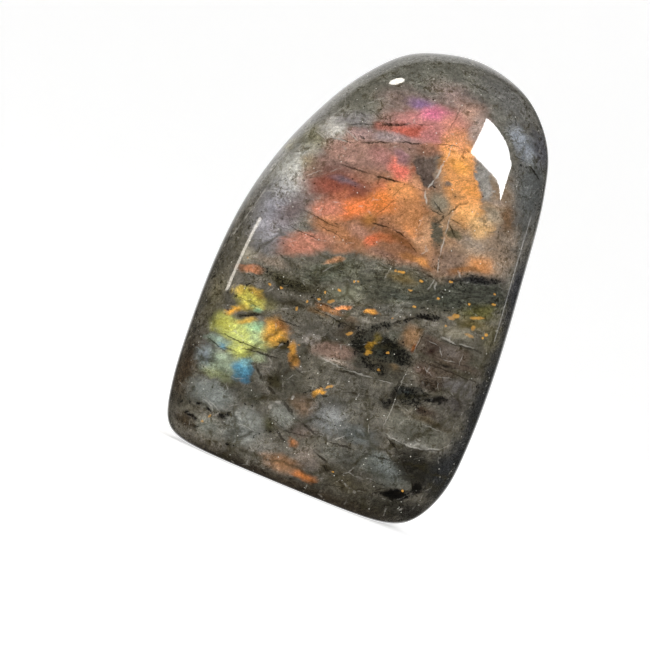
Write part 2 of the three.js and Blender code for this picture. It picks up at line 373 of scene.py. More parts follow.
    ("hookPale", 8.8, 35.6, 1.7, 1.5, 20, "#55554b", 0.85),
    ("hookBase", 9, 28.9, 6, 1.6, -8, "#3d392f", 0.9, 0.6, 0.1),
    ("blackPool", 16.4, 26, 3.6, 2, 8, "#272722", 0.88, 0.7),
    ("blackSlate", 15.2, 25.6, 1.7, 1, 0, "#303738", 0.75, 0.8),
    ("brownLedge", 18.4, 29, 3, 1.1, 0, "#40362d", 0.85),
    ("blackBar", 21.6, 26.9, 2.4, 0.9, 22, "#15130f", 0.97, 0.45),
    ("redBlack", 19.3, 24.3, 1.2, 0.7, 10, "#2a1a14"),
    ("blackStar", 12.3, 22.6, 1.4, 1.3, 20, "#0e0d0a", 0.97, 0.4),
    ("blackStep", 13.2, 24.4, 0.9, 1.7, -8, "#211e18", 0.88),
    ("amberBar", 4.8, 31.3, 0.8, 1.6, -8, "#9b7626", 0.95, 0.4, 0.2),
    ("amberBarTop", 5.5, 33.6, 0.9, 1.3, -10, "#635629", 0.88, 0.6, 0.1),
    # peacock flash at the lower left
    ("yellowCap", -21, 31.4, 3.2, 2.3, 10, "#fff272", 0.98, 0.4, 0.1),
    ("capOlive", -16.8, 31.6, 2.2, 1.8, 0, "#6f6a48", 0.85, 0.7),
    ("orangeCap", -23.6, 32.2, 1.4, 1.1, 20, "#ffdc68", 0.97),
    ("goldCap", -20, 33.2, 1.8, 0.8, -6, "#d0a24a", 0.9, 0.7),
    ("goldBelow", -22, 29.2, 1.8, 0.7, 20, "#d6b654", 0.9, 0.7),
    ("mintDrop", -19.1, 30, 1.1, 0.8, 0, "#8fc4a0", 0.9, 0.7),
    ("yellowField", -19.6, 24.7, 6.6, 2.4, 2, "#c8cf7a", 0.97, 0.45, 0.4),
    ("oliveField", -24, 25, 2.2, 2, 0, "#cbc85e", 0.9, 0.8),
    ("mint", -17.6, 26.4, 2.2, 1.2, 12, "#94bf98", 0.9, 0.8),
    ("paleGreen", -16.6, 24.8, 2, 1.4, 0, "#bccf9c", 0.85, 0.8),
    ("yellowStrip", -20.4, 27, 2.2, 0.6, 24, "#cfa84c", 0.92, 0.6, 0.1),
    ("dottedBand", -19.6, 28.5, 3.2, 0.5, 23, "#3b3521", 0.85),
    ("amberField", -13.6, 27, 2.8, 2.7, 10, "#dba347", 0.97, 0.45, 0.2),
    ("orangeSmoke", -12.8, 28.9, 2, 1, 6, "#94603a", 0.85, 0.7),
    ("oliveTooth", -11.4, 25.6, 1.4, 1.6, 40, "#37321f", 0.97, 0.4, 0.4),
    ("amberStave", -9.2, 25.4, 1, 2, 18, "#c48d3c", 0.95, 0.5, 0.2),
    ("amberTail", -8.2, 23, 0.9, 1.7, 25, "#b98442", 0.92, 0.6, 0.1),
    ("orangeSlip", -23.4, 27.8, 1.5, 0.7, 40, "#efb045", 0.95, 0.6, 0.1),
    ("yellowSlip", -18.9, 21, 2.8, 2.1, -10, "#dce078", 0.95, 0.6, 0.1),
    ("paleSlip", -14.9, 21.2, 1.6, 0.9, 0, "#a9b592", 0.88, 0.7),
    ("blueGreyField", -23.4, 21.4, 3, 1, 2, "#9aae9c", 0.93, 0.6, 0.1),
    ("blueChip", -22.6, 20.7, 1, 0.5, 6, "#6f9eb2", 0.9, 0.7),
    ("greenField", -22, 17.3, 4, 2.7, 0, "#b2c2a6", 0.97, 0.5, 0.2),
    ("lavenderCorner", -25, 17.6, 2, 2.4, 0, "#858e96", 0.9, 0.7),
    ("blue", -17.3, 18, 2.3, 1.9, 52, "#5f9dba", 0.97, 0.5, 0.4),
    ("blueTop", -16.8, 19.6, 1.2, 1, 40, "#86b8c0", 0.85, 0.7, 0.1),
    ("blueLow", -15.8, 16.5, 1, 1.3, 10, "#4f8fb2", 0.85, 0.6, 0.3),
    ("oliveRim", -21.4, 14.8, 3.4, 1, 0, "#8b9068", 0.85, 0.7),
    # lower part: grey cells between olive veins, with painted shade along the base and on the flanks
    # the left flank: the stone's own grey and dark brown, with painted shade laid into them
    ("flankGreyAndPaintedShade", -27.8, 29, 2, 6.4, 0, "#6a6450", 0.9, 0.7),
    ("flankBrownAndPaintedShade", -28, 13.6, 2.2, 7, 4, "#3f3325", 0.92),
    ("greyLowLeft", -21, 11, 5, 3, 4, "#7b7f7b", 0.95, 0.45, 0.2),
    ("greyCell", -12.4, 7.1, 4.4, 4, 0, "#8b8d87", 0.96, 0.4, 0.2),
    ("cellLow", -19, 4.6, 3.6, 2.2, 0, "#75766e", 0.93, 0.6, 0.1),
    ("cellFoot", -6.8, 4.6, 3.6, 2.4, 0, "#74716a"),
    ("oliveFork", -8, 9.6, 1.7, 1.2, -30, "#403f28", 0.8, 0.8),
    ("blackWedge", -17.5, 7.7, 1.2, 0.6, 40, "#100f0d"),
    ("blackTooth", -23.2, 5.2, 1.6, 0.6, -14, "#14110c", 0.93, 0.5),
    ("blackSeed", -22.7, 8.3, 0.7, 0.35, 10, "#100f0d"),
    ("blackSeedFar", -20.1, 8, 0.8, 0.4, -20, "#100f0d"),
    ("blackFoot", -14, 2.9, 1.1, 0.3, 14, "#100f0d", 0.93, 0.5),
    ("darkMiddle", -13, 13.4, 3.4, 1.9, -12, "#4d4d44", 0.88, 0.6, 0.1),
    ("oliveCore", -9.8, 18.3, 2.4, 1.5, -12, "#373322", 0.95, 0.5, 0.2),
    ("greyCore", -6.6, 19.5, 2.6, 2.2, 30, "#57544a", 0.9, 0.5),
    ("greyIsland", -13.8, 17.6, 1.4, 1.1, 0, "#7b796f", 0.88, 0.7),
    ("lavenderTip", -6, 28.6, 2.6, 1.5, 0, "#9d968f", 0.92),
    ("mauveLens", -1.8, 28.1, 4.4, 1.9, 4, "#7f695d", 0.95, 0.35, 0.3),
    ("paleLedge", 0.2, 26.3, 4.4, 0.6, 0, "#8f8378", 0.85, 0.7),
    ("greyPlain", 5, 22.6, 8, 2.8, 3, "#57544c", 0.92, 0.5, 0.1),
    ("greyPlainLow", 6, 18.6, 6.4, 2.4, 5, "#6a675e", 0.9, 0.5, 0.1),
    ("tanLeft", -2.8, 15.6, 2.6, 2, 10, "#86705c", 0.9, 0.7),
    ("paleHeart", 2.8, 15.2, 4, 3.7, 12, "#858685", 0.93, 0.6, 0.1),
    ("heartCore", 3.4, 15, 2.2, 2.2, 20, "#9a9c9a", 0.75, 0.9),
    ("blueHeart", 9.2, 14.4, 3.8, 2.2, 0, "#6a6e6c", 0.9, 0.6, 0.1),
    ("goldChip", -1.3, 19.3, 0.7, 1.5, -32, "#cf9845", 0.97, 0.4, 0.2),
    ("greyTongue", -5.8, 12.4, 3, 2.2, 0, "#7e7f78", 0.92, 0.5, 0.3),
    ("mauveTongue", -1.2, 11, 2.8, 1.4, 0, "#786b62", 0.88, 0.7),
    ("pinkGreyLow", 2, 6.2, 3.2, 2.4, 5, "#786d64", 0.9, 0.7),
    ("orangeBlush", -1.8, 8.2, 1.3, 0.9, 0, "#a86d42", 0.85, 0.8),
    ("tanBase", -2.4, 3.3, 3.8, 1.6, 3, "#b98a64", 0.92, 0.7),
    ("orangeBase", 2.9, 2.7, 2.6, 0.9, 4, "#e89050", 0.95, 0.6, 0.1),
    ("greyLow", 7.8, 9.4, 4.6, 2, 0, "#5c5b54", 0.9, 0.5, 0.2),
    ("blueGreyLow", 16.6, 10, 6.2, 2.8, -12, "#64665f", 0.93, 0.4, 0.3),
    ("blueGreyHeart", 17, 10.8, 3.4, 1.6, -12, "#757a78", 0.8, 0.9),
    ("brownLow", 10.8, 4.4, 4.6, 2.2, 0, "#4c4636", 0.92, 0.6, 0.1),
    ("oliveShade", 22.8, 13, 6.4, 4, -24, "#2b2923", 0.97, 0.5, 0.3),
    # painted shade: the right flank, darkened where it turns away from the light
    ("lowRightEdgePaintedShade", 26.8, 14.6, 2.2, 3.2, -10, "#2b2a24", 0.92),
    ("rightEdgePaintedShade", 28.4, 53, 1.6, 8, 8, "#33343a"),
    ("oliveCorner", 21, 3.8, 5.4, 2.4, 12, "#2b2921", 0.88),
    ("blot", 21, 6, 2.9, 1.5, 10, "#050403", 1.0, 0.4),
    ("blotFar", 24.2, 8.5, 2, 1.4, 40, "#0e0c09", 0.98, 0.5),
    # painted shade at the lower right corner, where the base turns under
    ("cornerPaintedShade", 25, 3.6, 4, 2.6, 20, "#272521", 0.92),
    ("oliveFoot", 6, 6, 2, 1.2, -10, "#3b3527"),
    ("oliveBase", 14.5, 1.4, 9, 1.5, 2, "#2c281e", 0.85, 0.7),
    # painted shade along the base and at its lower left corner
    ("footPaintedShade", -23.8, 3.8, 2.9, 1.6, -14, "#30271b", 0.93),
    ("basePaintedShade", 0, -0.6, 32, 2.4, 0, "#2e261c", 0.9, 0.5, 0.2),
    # painted shade: the right flank, darkened where it turns away from the light
    ("rightFlankPaintedShade", 30.6, 28, 3, 30, 0, "#2d2e2f", 0.92, 0.6, 0.2),
    ("lowRightFlankPaintedShade", 28.6, 14, 3, 6.4, -12, "#292a2b"),
    ("brownRightLow", 20.8, 24, 3, 1.3, 5, "#3d332a", 0.93),
    ("mauveRightLow", 25.4, 27.6, 2.4, 2, 0, "#4f4a48", 0.85, 0.7),
    ("paleLens", 20, 19.4, 6.6, 3, 3, "#615f55", 0.95, 0.3, 0.3),
    ("lensEdge", 20.4, 17.2, 5.6, 0.7, 3, "#8d8b84", 0.75, 0.8),
    ("lensOlive", 21.2, 22.4, 4.8, 0.9, -3, "#4a4131"),
]

# The back, which the photograph doesn't show: greys, the dark band carried round, one quiet flash
backPatches = [
    ("backSlate", 6, 66, 13, 17, 15, "#5f625f", 0.75, 0.7),
    ("backPale", -11, 74, 8, 6, -30, "#86847c", 0.8, 0.8),
    ("backPaleFar", 15, 50, 6, 8, 10, "#7c7b74", 0.8, 0.8),
    ("backBand", -2, 41, 32, 4.6, -14, "#3c3d35", 0.9, 0.5, 0.1),
    ("backOlive", 0, 27, 13, 2.2, 8, "#3b3827", 0.85),
    ("backGold", -3, 59.4, 6, 2.6, -38, "#7f7458", 0.7, 0.9),
    ("backBlue", 2.5, 61, 8, 4, -38, "#4f6f7c", 0.8, 0.9, 0.1),
    ("backTeal", 6.4, 64.6, 5, 2.4, -38, "#65807a", 0.7, 0.9),
    ("backBronze", -13, 20, 6, 3, -20, "#6f604c", 0.7, 0.9),
    ("backCell", 10, 17, 7, 5, 0, "#6e7170", 0.88, 0.45, 0.2),
    ("backCellLow", -8, 9, 6.4, 4, -10, "#64665f", 0.85, 0.45, 0.2),
    ("backBlack", 14, 32, 3.4, 1.2, -25, "#181712", 0.93, 0.5),
    ("backFoot", 0, -0.5, 32, 2.4, 0, "#3a332a", 0.85, 0.6, 0.2),
]

# Veins and cracks of the back: from across, up to across, up, half width, strength
backVeins = [
    (-19, 66, 4, 57, 0.22, 0.8), (4, 57, 20, 54.6, 0.18, 0.7), (-8, 78, 12, 70, 0.16, 0.6),
    (-22, 33, -4, 27.6, 0.22, 0.8), (-4, 27.6, 14, 25, 0.2, 0.75), (2, 22, 4, 6, 0.2, 0.7),
    (4, 12, 20, 9, 0.18, 0.7), (-20, 14, -4, 16, 0.18, 0.65), (12, 84, 16, 76, 0.14, 0.6),
]

# Dark veins and cracks of the face, in the same form
darkVeins = [
    (-16.7, 71.1, -10.4, 73.5, 0.18, 0.75), (-11, 73.2, -4, 76.6, 0.3, 0.85),
    (-4.4, 76.4, -0.8, 77.3, 0.14, 0.6), (-19.4, 67.3, -12.8, 68.5, 0.15, 0.8),
    (-12.8, 68.5, -5.9, 71.5, 0.17, 0.85), (-5.9, 71.5, 0.1, 73.6, 0.17, 0.85),
    (0.1, 73.6, 7.5, 76.1, 0.12, 0.7), (-15.2, 63.3, -7.8, 63.9, 0.18, 0.8),
    (-8.2, 63.8, -0.8, 64.5, 0.22, 0.95), (-6.9, 63.8, -5.9, 64, 0.34, 0.9),
    (-1, 64.4, 4.6, 64.9, 0.08, 0.5), (9.8, 64.5, 12.8, 66.1, 0.26, 0.6), (9.1, 61.5, 5.2, 63.8, 0.2, 0.8),
    (9.1, 61.5, 5, 61.6, 0.16, 0.8), (9.1, 61.5, 12.6, 58, 0.2, 0.8), (9.1, 61.5, 7, 58.6, 0.16, 0.75),
    (9.1, 61.5, 10.8, 65.4, 0.16, 0.75), (9.1, 61.5, 13, 61.2, 0.14, 0.7), (-1.2, 64, -2.6, 60.4, 0.1, 0.5),
    (-1.2, 61.2, -4.7, 55.6, 0.12, 0.55), (-5.2, 54.8, 0.1, 55.2, 0.2, 0.85),
    (0.1, 55.2, 3.8, 54.2, 0.16, 0.8), (3.8, 54.2, 6.8, 52.3, 0.12, 0.7),
    (-3.2, 56.2, -2.1, 56.5, 0.16, 0.7), (-18.8, 52, -8.2, 51, 0.12, 0.75),
    (-16, 50.5, -6.8, 49.6, 0.1, 0.7), (-21.5, 48, -10.5, 47.5, 0.12, 0.75),
    (-23.8, 47.5, -17.4, 47, 0.08, 0.5), (-19.2, 42, -16.2, 41.2, 0.14, 0.5),
    (-11.2, 52, -10.2, 51.7, 0.2, 0.7), (-20, 44.4, -14, 43.1, 0.07, 0.4), (-12.4, 46, -7, 45.3, 0.1, 0.4),
    (8.4, 50, 13, 48.6, 0.16, 0.65), (-10.6, 36.2, -1.2, 36.1, 0.12, 0.7),
    (-10.8, 34.7, 5.4, 33.7, 0.14, 0.75), (-26, 31, -14.6, 30.5, 0.11, 0.5),
    (-9.2, 22.2, -3.8, 21.3, 0.12, 0.6), (-24, 20.3, -17.6, 20.7, 0.16, 0.6),
    (-21.6, 19.3, -18.6, 19.9, 0.1, 0.5), (-14, 23.5, -6.8, 24.3, 0.1, 0.45),
    (-9.2, 11, -3.6, 9.9, 0.14, 0.5), (4.8, 2.1, 11.4, 3.5, 0.14, 0.55), (11.4, 40.8, 8.6, 38.8, 0.26, 0.9),
    (8.8, 38.9, 7.2, 37.6, 0.26, 0.85), (5.8, 36.4, 3.4, 34.9, 0.2, 0.7), (3.6, 35, 2.4, 33, 0.2, 0.7),
    (10.6, 40.9, 15.6, 41.6, 0.24, 0.9), (13.7, 39.8, 13.6, 33.6, 0.14, 0.6),
    (13.6, 32.8, 13.2, 29, 0.14, 0.6), (13.2, 29.2, 12.6, 25, 0.2, 0.6), (-2, 24.3, 6, 25.6, 0.16, 0.6),
    (5.8, 25.6, 13, 27, 0.16, 0.6), (-8, 15.6, -3.4, 12.9, 0.34, 0.8), (-3.4, 12.9, 3, 11, 0.3, 0.8),
    (-15.2, 19.5, -11.8, 16.7, 0.3, 0.8), (-11.8, 16.7, -8.4, 15.3, 0.36, 0.85),
    (-5.7, 9.5, 2.6, 11, 0.16, 0.7), (2.6, 11, 11, 11.4, 0.16, 0.75), (11, 11.4, 18.6, 12.3, 0.16, 0.7),
    (-6.5, 9.5, -3, 7.2, 0.3, 0.75), (14, 17, 18.6, 14, 0.2, 0.85), (18.6, 14, 22.4, 10.2, 0.2, 0.8),
    (22.4, 10.2, 24.3, 8.3, 0.24, 0.85), (23.6, 8.2, 25.8, 10.4, 0.2, 0.85), (24, 8, 26, 7.4, 0.16, 0.8),
    (16, 5, 19.2, 6.9, 0.14, 0.8), (2.3, 8.3, 6.4, 6.8, 0.26, 0.85), (5, 6.4, 7.2, 5.3, 0.26, 0.8),
    (13.2, 17.2, 26.4, 19.6, 0.05, 0.3), (11, 23, 1.1, 21, 0.1, 0.5), (14.6, 16.6, 20.6, 15.6, 0.2, 0.6),
    (20.6, 15.6, 26.4, 18, 0.2, 0.6), (-0.6, 24.8, 5.8, 25.3, 0.2, 0.75),
    (-25.7, 22.7, -12.4, 22.9, 0.13, 0.85), (-20, 21.7, -9.5, 22.5, 0.18, 0.85),
    (-26.6, 21, -20.6, 19.8, 0.13, 0.8), (-24.8, 30.6, -18.4, 31.2, 0.07, 0.6),
    (-17.4, 29.7, -8, 30.1, 0.13, 0.75), (-11, 26.9, -10, 25.4, 0.3, 0.9),
    (-25.6, 24.2, -20.5, 24, 0.06, 0.45), (-22.4, 27.1, -16.8, 29.7, 0.2, 0.8),
    (24, 8.4, 20.6, 6.4, 0.2, 0.85), (19.2, 5.6, 16.2, 4.9, 0.12, 0.8), (19, 6.9, 15, 7, 0.1, 0.8),
    (22, 5.2, 23.6, 3.2, 0.14, 0.8), (26.6, 8.8, 24.4, 8.2, 0.14, 0.8), (15, 28.9, 15.4, 28.5, 0.4, 0.8),
    (17.6, 29.2, 18.4, 28.9, 0.34, 0.8), (18.4, 13.3, 26, 12.5, 0.16, 0.5), (13, 33, 30.4, 33.3, 0.14, 0.8),
    (16, 38.1, 28, 39.3, 0.22, 0.65), (15, 34.9, 27, 35.4, 0.12, 0.5), (21.8, 59.8, 27.8, 61.9, 0.12, 0.45),
    (20.2, 78.2, 24.6, 75.6, 0.2, 0.85), (16.6, 78.4, 20.6, 78.1, 0.12, 0.6),
    (14.4, 86.2, 15.4, 83.6, 0.16, 0.6), (8, 88.5, 12.4, 87.1, 0.12, 0.5), (3.8, 85, 3, 77, 0.12, 0.5),
    (0, 89.1, 8.4, 88.2, 0.14, 0.5), (-12.4, 83.8, -8.8, 84.5, 0.16, 0.6),
    (19.6, 70.4, 25, 72.1, 0.1, 0.45), (-16, 74.2, -13.2, 74.4, 0.16, 0.6),
    (-13.8, 75.6, -11.8, 75.4, 0.14, 0.65), (-13.1, 69.9, -11.5, 69.6, 0.2, 0.75),
    (-22, 58.4, -26.8, 53.2, 0.1, 0.6), (4.6, 21.2, 7.4, 21.7, 0.1, 0.5), (-13, 55.8, -9, 54.4, 0.08, 0.4),
    (26, 60, 28, 62.6, 0.1, 0.4), (25.6, 45.8, 29.2, 43.9, 0.1, 0.4), (-5, 80.2, 0, 82.6, 0.08, 0.3),
]

# Pale cracks and healed seams, and one painted reflection line along the right edge, in the same form
paleVeins = [
    (4.8, 76, 4.5, 71.4, 0.12, 0.7), (4.5, 71.8, 4.2, 67.4, 0.22, 0.95), (4.2, 67.8, 3.6, 64.8, 0.18, 0.9),
    (3.1, 65.1, 4.6, 62, 0.24, 0.85), (4.9, 60.2, 4.8, 57, 0.09, 0.5), (9.8, 62.2, 10, 57.8, 0.13, 0.6),
    (10.1, 58.2, 10.9, 53.3, 0.17, 0.85), (10.8, 53.7, 11.9, 50.2, 0.12, 0.7),
    (11.8, 49.2, 11.2, 46.4, 0.16, 0.5), (12, 48.8, 12.6, 46.9, 0.22, 0.6),
    (-19.4, 67.6, -14.4, 68, 0.16, 0.75), (-19.3, 67.4, -19.2, 71, 0.1, 0.5),
    (-22.7, 68.7, -23.4, 64.8, 0.13, 0.6), (-22.5, 68.2, -19, 66.7, 0.12, 0.7),
    (-16.6, 70.4, -12.4, 68.7, 0.12, 0.7), (-26, 59.4, -22, 56.4, 0.12, 0.65),
    (-27.4, 52.6, -22.6, 53.6, 0.1, 0.6), (-24.4, 66.4, -21.2, 70.2, 0.12, 0.7),
    (-20.8, 57.6, -17.2, 61.2, 0.1, 0.6), (-23.3, 65, -23.9, 62.2, 0.16, 0.6),
    (-24, 62.6, -23, 60.2, 0.2, 0.6), (-26.5, 54.4, -27.4, 48.8, 0.15, 0.7),
    (-27.3, 49.2, -28.4, 45, 0.14, 0.7), (-28.2, 45.6, -29.9, 41.2, 0.13, 0.7),
    (-4.4, 26.3, 2.4, 25.5, 0.18, 0.6), (1.4, 25.4, 8.4, 26.1, 0.14, 0.6), (8, 26, 12.4, 26.6, 0.1, 0.5),
    (13.5, 31, 13.3, 25, 0.08, 0.5), (13.3, 25.4, 13.7, 16.8, 0.1, 0.6),
    (14.2, 16.9, 18.4, 16.1, 0.13, 0.6), (17.8, 16.1, 22.8, 16.7, 0.16, 0.7),
    (22.4, 16.5, 26.2, 18.4, 0.15, 0.65), (25.8, 18.1, 27.8, 19.9, 0.1, 0.5),
    (19.6, 21.5, 26, 21.1, 0.08, 0.35), (16.8, 38.9, 21, 38.8, 0.22, 0.6),
    (20.6, 38.9, 24.6, 39.3, 0.16, 0.5), (5, 11.4, 7.2, 13.7, 0.11, 0.5),
    (-22.4, 9.5, -19.2, 8.1, 0.12, 0.5), (10.6, 17.8, 11.2, 15.2, 0.1, 0.45),
    # the first stroke on the next line is a painted reflection: a faint pale line along the right edge
    (25, 65.6, 26, 60.8, 0.1, 0.4), (-13.6, 77.6, -11.2, 79.4, 0.12, 0.5),
    (-14.4, 76.4, -12.6, 78.4, 0.12, 0.5), (14.6, 37.6, 17.4, 36.9, 0.07, 0.6),
    (17.4, 36.9, 19, 35, 0.07, 0.6), (19, 35, 22, 35.6, 0.07, 0.6), (16, 32.4, 19, 31, 0.07, 0.6),
    (19, 31, 23, 32.2, 0.07, 0.6), (20, 30.6, 21, 28.6, 0.07, 0.5), (22.6, 37.8, 22.8, 34.4, 0.07, 0.5),
    (-3, 21.2, -2.4, 18.6, 0.07, 0.4), (2.2, 17, 5.8, 13, 0.08, 0.5), (-14.6, 7.4, -9.4, 7.2, 0.09, 0.6),
    (-22.6, 10, -17.4, 8, 0.09, 0.55), (-17, 9.8, -14.8, 11, 0.08, 0.5),
    (13.4, 37.8, 13.5, 33.4, 0.09, 0.45), (-19.2, 72.8, -17.6, 75, 0.14, 0.5),
    (21.2, 57.4, 24.6, 56.2, 0.08, 0.3), (-6, 16, -5.2, 16.8, 0.3, 0.6),
    (-8.6, 14.1, -7.2, 14.4, 0.3, 0.55), (-9.4, 13, -8.6, 12.6, 0.3, 0.5),
    (12.9, 3.4, 13.6, 3.6, 0.3, 0.45), (22.8, 3.6, 23.6, 3.8, 0.34, 0.5), (6.2, 20.6, 6.6, 22.6, 0.07, 0.4),
]

# Where black grains crowd together: across, up, half sizes, turn, crowding
blackCrowds = [
    (2.2, 31.2, 2.1, 3.8, 6, 0.92), (6.4, 37, 1.8, 1.5, 25, 0.95), (9, 39, 2.2, 0.7, 36, 0.95),
    (13.2, 41.8, 3.6, 1.3, 16, 1.0), (4.6, 35.4, 2.6, 1.5, 42, 0.9), (10, 35, 2, 1.4, 0, 0.85),
    (16, 44, 1.3, 0.35, 14, 1.0), (12.2, 43, 1, 0.4, -10, 0.9), (8.6, 33.6, 3.8, 1.5, -4, 0.95),
    (11.6, 32, 2.8, 2.8, 0, 0.95), (7, 28.2, 5.6, 1.8, -12, 0.93), (8.4, 30.8, 2.6, 2, 0, 0.85),
    (1.4, 33.9, 2.4, 0.5, 0, 0.95), (-2, 33.6, 2, 0.9, 8, 0.9), (16.6, 26, 4.6, 2.6, 8, 0.93),
    (12.6, 22.8, 1.9, 1.8, 0, 0.95), (22.6, 27.7, 1.3, 0.7, 15, 1.0), (20, 26.3, 1.8, 0.7, 25, 0.9),
    (13.6, 26, 1.5, 1.3, 0, 0.9), (16.6, 24.4, 3.4, 1.1, 5, 0.95), (19.6, 24, 1.2, 0.7, 0, 0.95),
    (18, 29.2, 1.6, 0.8, 0, 0.75), (20, 52.4, 4.6, 1.3, 20, 0.85), (23, 53.4, 2, 0.9, 10, 0.95),
    (17, 49.3, 3.6, 1.9, 15, 0.75), (18, 46.3, 2, 1.1, 20, 0.8), (16.2, 44, 1.6, 0.5, 12, 0.85),
    (-15, 37.5, 6.6, 1.2, 3, 0.85), (-20.6, 37.8, 1.4, 0.7, 0, 0.95), (-9.3, 36.6, 0.9, 0.8, 20, 1.0),
    (-12.3, 34, 1.6, 0.9, 0, 0.85), (-22.3, 34, 1.1, 0.7, 0, 1.0), (-24, 30.8, 1.1, 0.6, 10, 1.0),
    (-19.4, 28.4, 3.1, 0.42, 23, 1.0), (-24.3, 27.9, 0.9, 0.5, 45, 0.95), (-26.6, 25.6, 0.7, 0.6, 0, 0.95),
    (-10.9, 26.7, 1.8, 0.7, 58, 0.95), (-3, 18.5, 1.8, 0.4, 42, 1.0), (-1.2, 20.6, 1.2, 0.4, 48, 0.95),
    (-4, 21.3, 0.6, 0.4, 0, 0.9), (-17.4, 7.7, 1.9, 0.5, -14, 1.0), (-16.5, 8.5, 0.5, 1, -15, 0.95),
    (-20, 7.9, 1.1, 0.5, -25, 0.95), (-22.8, 8, 1, 0.5, 10, 0.95), (-24.4, 7.4, 0.6, 0.6, 0, 0.85),
    (-23.2, 5.2, 1.9, 0.6, -12, 1.0), (-21.5, 3.4, 1.1, 0.4, 20, 0.95), (-14.2, 2.9, 1.1, 0.5, 12, 1.0),
    (-12.6, 3.2, 0.6, 0.3, 0, 0.9), (-26.6, 7.4, 0.9, 0.9, 0, 0.9), (-9.7, 6.3, 0.8, 0.4, 50, 0.95),
    (-7.2, 8.2, 0.5, 0.4, 0, 0.95), (-11.2, 12.9, 1.2, 0.35, -4, 0.95), (-12.3, 11.1, 0.6, 0.6, 0, 0.9),
    (-14.2, 11.3, 0.7, 0.4, 0, 0.85), (-28, 31, 1.4, 3, 0, 0.7), (-28.4, 18, 1.6, 7, 0, 0.75),
    (21.3, 6, 3.6, 1.9, 12, 1.0), (24.2, 8.6, 2.4, 1.8, 40, 1.0), (18.4, 5.2, 2, 0.8, 10, 0.9),
    (28, 32.6, 1.1, 0.8, 0, 0.95), (1.4, 36.8, 1.4, 0.8, 0, 0.6), (-6.1, 43.2, 0.35, 0.4, 0, 1.0),
    (19.5, 77, 0.4, 0.4, 0, 1.0), (8.4, 61.3, 0.5, 0.5, 0, 0.95), (4.3, 66.3, 0.4, 0.5, 0, 0.95),
    (-2.8, 71.6, 0.7, 0.5, 0, 0.85), (3.3, 90.6, 0.4, 0.3, 0, 0.9), (-12.8, 66.7, 0.8, 0.5, 30, 0.75),
    (9.2, 65.9, 0.6, 0.4, 20, 0.8),
]

# Golden flecks: across, up, half sizes, turn, strength
goldFlecks = [
    (-5.1, 39.8, 0.5, 0.32, 0, 0.9), (-3, 42.5, 0.28, 0.26, 0, 0.9), (-2.3, 42.9, 0.24, 0.2, 0, 0.7),
    (-7.5, 38.3, 0.22, 0.34, 20, 0.8), (-8.1, 36.6, 0.4, 0.34, 0, 0.9), (-16, 35.9, 0.4, 0.26, 0, 0.8),
    (-18.4, 35.6, 0.45, 0.24, 8, 0.7), (5, 47.9, 0.9, 0.34, 14, 0.9), (3.8, 47.7, 0.4, 0.26, 0, 0.7),
    (9.3, 47.7, 0.5, 0.28, 0, 0.8), (8, 45.2, 0.6, 0.24, 15, 0.8), (14.9, 49.8, 0.5, 0.28, 15, 0.9),
    (13.8, 45.8, 0.34, 0.26, 0, 0.8), (10, 42.5, 0.42, 0.3, 30, 0.8), (20, 47.1, 0.34, 0.32, 0, 0.9),
    (24.7, 49, 0.6, 0.3, 22, 0.8), (24, 51, 0.34, 0.26, 0, 0.7), (18.4, 43.9, 1, 0.5, 14, 0.6),
    (17.7, 43.2, 0.9, 0.4, 10, 0.45), (22.6, 45.2, 1.8, 0.34, 20, 0.6), (25.6, 42.8, 0.42, 0.4, 0, 0.8),
    (25.2, 42, 0.3, 0.3, 0, 0.9), (22.6, 43, 0.5, 0.7, 0, 0.5), (22.4, 41.4, 1.2, 0.4, 0, 0.4),
    (0.1, 32.6, 0.9, 0.38, 35, 0.55), (8.6, 31.9, 0.34, 0.3, 0, 0.7), (4.8, 30.4, 0.5, 0.7, 0, 0.4),
    (8.2, 28.1, 0.4, 0.3, 0, 0.5), (22, 7.4, 0.3, 0.28, 0, 0.8), (7.6, 5.7, 0.22, 0.2, 0, 0.8),
    (-10.2, 35.3, 0.24, 0.34, 0, 0.7), (-5.8, 37.1, 1, 0.4, 35, 0.5), (-11.6, 33.2, 0.3, 0.6, 0, 0.6),
    (-19.6, 6.6, 0.26, 0.5, -20, 0.5), (-20.6, 5, 0.4, 0.3, 0, 0.5), (0.4, 21.2, 1, 0.3, 38, 0.7),
    (17.3, 41.3, 0.3, 0.24, 0, 0.6), (6.8, 38.7, 0.3, 0.3, 0, 0.4), (-24.6, 38.9, 0.3, 0.3, 0, 0.4),
]

# Where the flash glows, and the clouds over it are thin
glowAreas = [
    (-4, 60, 17, 15, 20, 1.0), (9, 65, 10, 14, -30, 1.0), (0, 77, 10, 8, 10, 1.0), (-15, 46, 7, 4, 25, 0.9),
    (18, 57, 6, 4, 15, 0.8), (-20, 25, 8, 9, 0, 1.0), (-12, 26, 5, 5, 0, 0.8),
]

# Where the dark band runs
bandAreas = [
    (4.5, 44.9, 13, 5.5, 12, 0.9), (20, 48.6, 10, 5.5, 20, 1.0), (-9, 42, 9, 3, 28, 0.8),
    (2, 38, 14, 3, 12, 0.7), (-15, 37, 8, 2, 4, 0.8), (10, 31, 8, 5, 0, 0.6), (18, 26, 7, 3, 10, 0.7),
]

